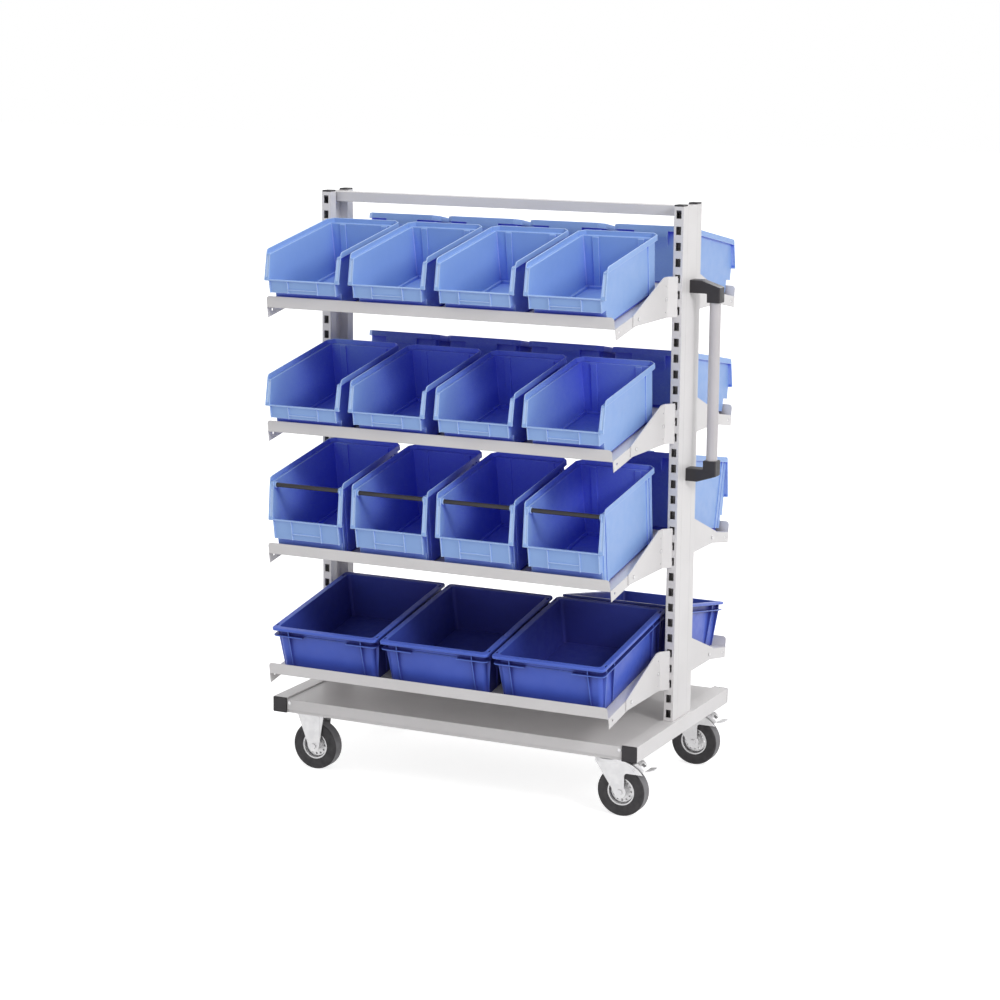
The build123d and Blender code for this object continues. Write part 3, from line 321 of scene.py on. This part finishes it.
def floor_material():
    """Pale floor that takes a shadow and glows to white where the camera sees it lit."""
    shader = Shader("studio_floor")
    shader.main.inputs["Base Color"].default_value = (*floor_colour, 1.0)
    shader.main.inputs["Roughness"].default_value = floor_roughness
    shader.main.inputs["Specular IOR Level"].default_value = 0.0
    shader.main.inputs["Emission Color"].default_value = (*white, 1.0)
    distance = shader.add("ShaderNodeVectorMath", operation="LENGTH")
    shader.link(shader.coordinates, distance.inputs[0])
    glow = shader.spread(distance.outputs["Value"], floor_near_glow, floor_far_glow, floor_near, floor_far)
    level = shader.combine("MULTIPLY", shader.seen_directly(), glow)
    shader.link(level, shader.main.inputs["Emission Strength"])
    return shader.material


def materials():
    """Every material by the slot it dresses."""
    black = (black_light, black_dark, black_edge_highlight)
    bin_colours = (bin_light, bin_dark, bin_edge_highlight)
    box_colours = (box_light, box_dark, box_edge_highlight)
    return {
        "grey_coat": powder_coat("grey_powder_coat", coat_light, coat_dark),
        "handle_grey": powder_coat("handle_powder_coat", handle_light, handle_dark),
        "black_plastic": moulded_plastic("black_plastic", *black, black_roughness),
        "black_bar": moulded_plastic("black_bar", *black, rod_roughness),
        "zinc_steel": zinc_plate("zinc_plated_steel"),
        "tyre_rubber": rubber("tyre_rubber"),
        "bin_blue": moulded_plastic("bin_plastic", *bin_colours, bin_roughness, bin_painted_shade),
        "box_blue": moulded_plastic("box_plastic", *box_colours, box_roughness, box_painted_shade),
    }


# Trolley
def round_edges(piece, width):
    """Join a node's faces, round its sharp edges and smooth what is left."""
    weld = piece.modifiers.new("weld", "WELD")
    weld.merge_threshold = weld_distance
    bevel = piece.modifiers.new("bevel", "BEVEL")
    bevel.width = width
    bevel.segments = rounding_segments
    bevel.limit_method = "ANGLE"
    bevel.angle_limit = math.radians(sharp_angle)
    bevel.use_clamp_overlap = False
    bevel.loop_slide = False
    bevel.miter_outer = "MITER_ARC"
    piece.modifiers.new("normals", "WEIGHTED_NORMAL").keep_sharp = False


def dress_nodes():
    """Give every node its slot's material and rounded edges."""
    looks = materials()
    slots = {part["node"]: part["material_slot"] for part in frame["record"]["subparts"]}
    for name, piece in nodes.items():
        slot = slots[name]
        piece.data.materials.clear()
        piece.data.materials.append(looks[slot])
        round_edges(piece, edge_rounding[slot])


# Studio
def place_in_scene(thing):
    """Put a new object into the scene."""
    bpy.context.scene.collection.objects.link(thing)


def add_camera():
    """Look from the photo's place along its angles, with its lens and framing."""
    azimuth, elevation, roll = (math.radians(a) for a in (camera_azimuth, camera_elevation, camera_roll))
    back = Vector((math.sin(azimuth) * math.cos(elevation), -math.cos(azimuth) * math.cos(elevation),
                   math.sin(elevation)))
    right = Vector((math.cos(azimuth), math.sin(azimuth), 0.0))
    up = back.cross(right)
    turned_right = math.cos(roll) * right + math.sin(roll) * up
    turned_up = math.cos(roll) * up - math.sin(roll) * right
    data = bpy.data.cameras.new("camera")
    data.sensor_width = camera_sensor
    data.lens = camera_lens
    data.shift_x, data.shift_y = camera_shift
    camera = bpy.data.objects.new("camera", data)
    turn = Matrix((turned_right, turned_up, back)).transposed().to_4x4()
    camera.matrix_world = Matrix.Translation(camera_place) @ turn
    place_in_scene(camera)
    bpy.context.scene.camera = camera


def add_lamps():
    """Hang the square soft lamps, each turned to what it looks at."""
    for name, place, target, size, power in lamps:
        data = bpy.data.lights.new(name, "AREA")
        data.size = size
        data.energy = power
        lamp = bpy.data.objects.new(name, data)
        lamp.location = place
        lamp.rotation_euler = (Vector(target) - Vector(place)).to_track_quat("-Z", "Y").to_euler()
        place_in_scene(lamp)


def add_world():
    """White all round: seen at full level, and dimmer as a light."""
    world = bpy.data.worlds.new("studio")
    world.use_nodes = True
    sky = Tree(world.node_tree)
    background = sky.tree.nodes["Background"]
    background.inputs["Color"].default_value = (*white, 1.0)
    level = sky.spread(sky.seen_directly(), world_level, world_seen_level, 0.0, 1.0)
    sky.link(level, background.inputs["Strength"])
    bpy.context.scene.world = world


def add_floor():
    """Lay a wide floor under the wheels, as part of the stage."""
    half = floor_size / 2
    corners = [(-half, -half, 0), (half, -half, 0), (half, half, 0), (-half, half, 0)]
    mesh = bpy.data.meshes.new("floor")
    mesh.from_pydata(corners, [], [(0, 1, 2, 3)])
    mesh.materials.append(floor_material())
    floor = bpy.data.objects.new("floor", mesh)
    place_in_scene(floor)


dress_nodes()
add_camera()
add_lamps()
add_world()
add_floor()
bpy.context.scene.view_settings.view_transform = "Standard"
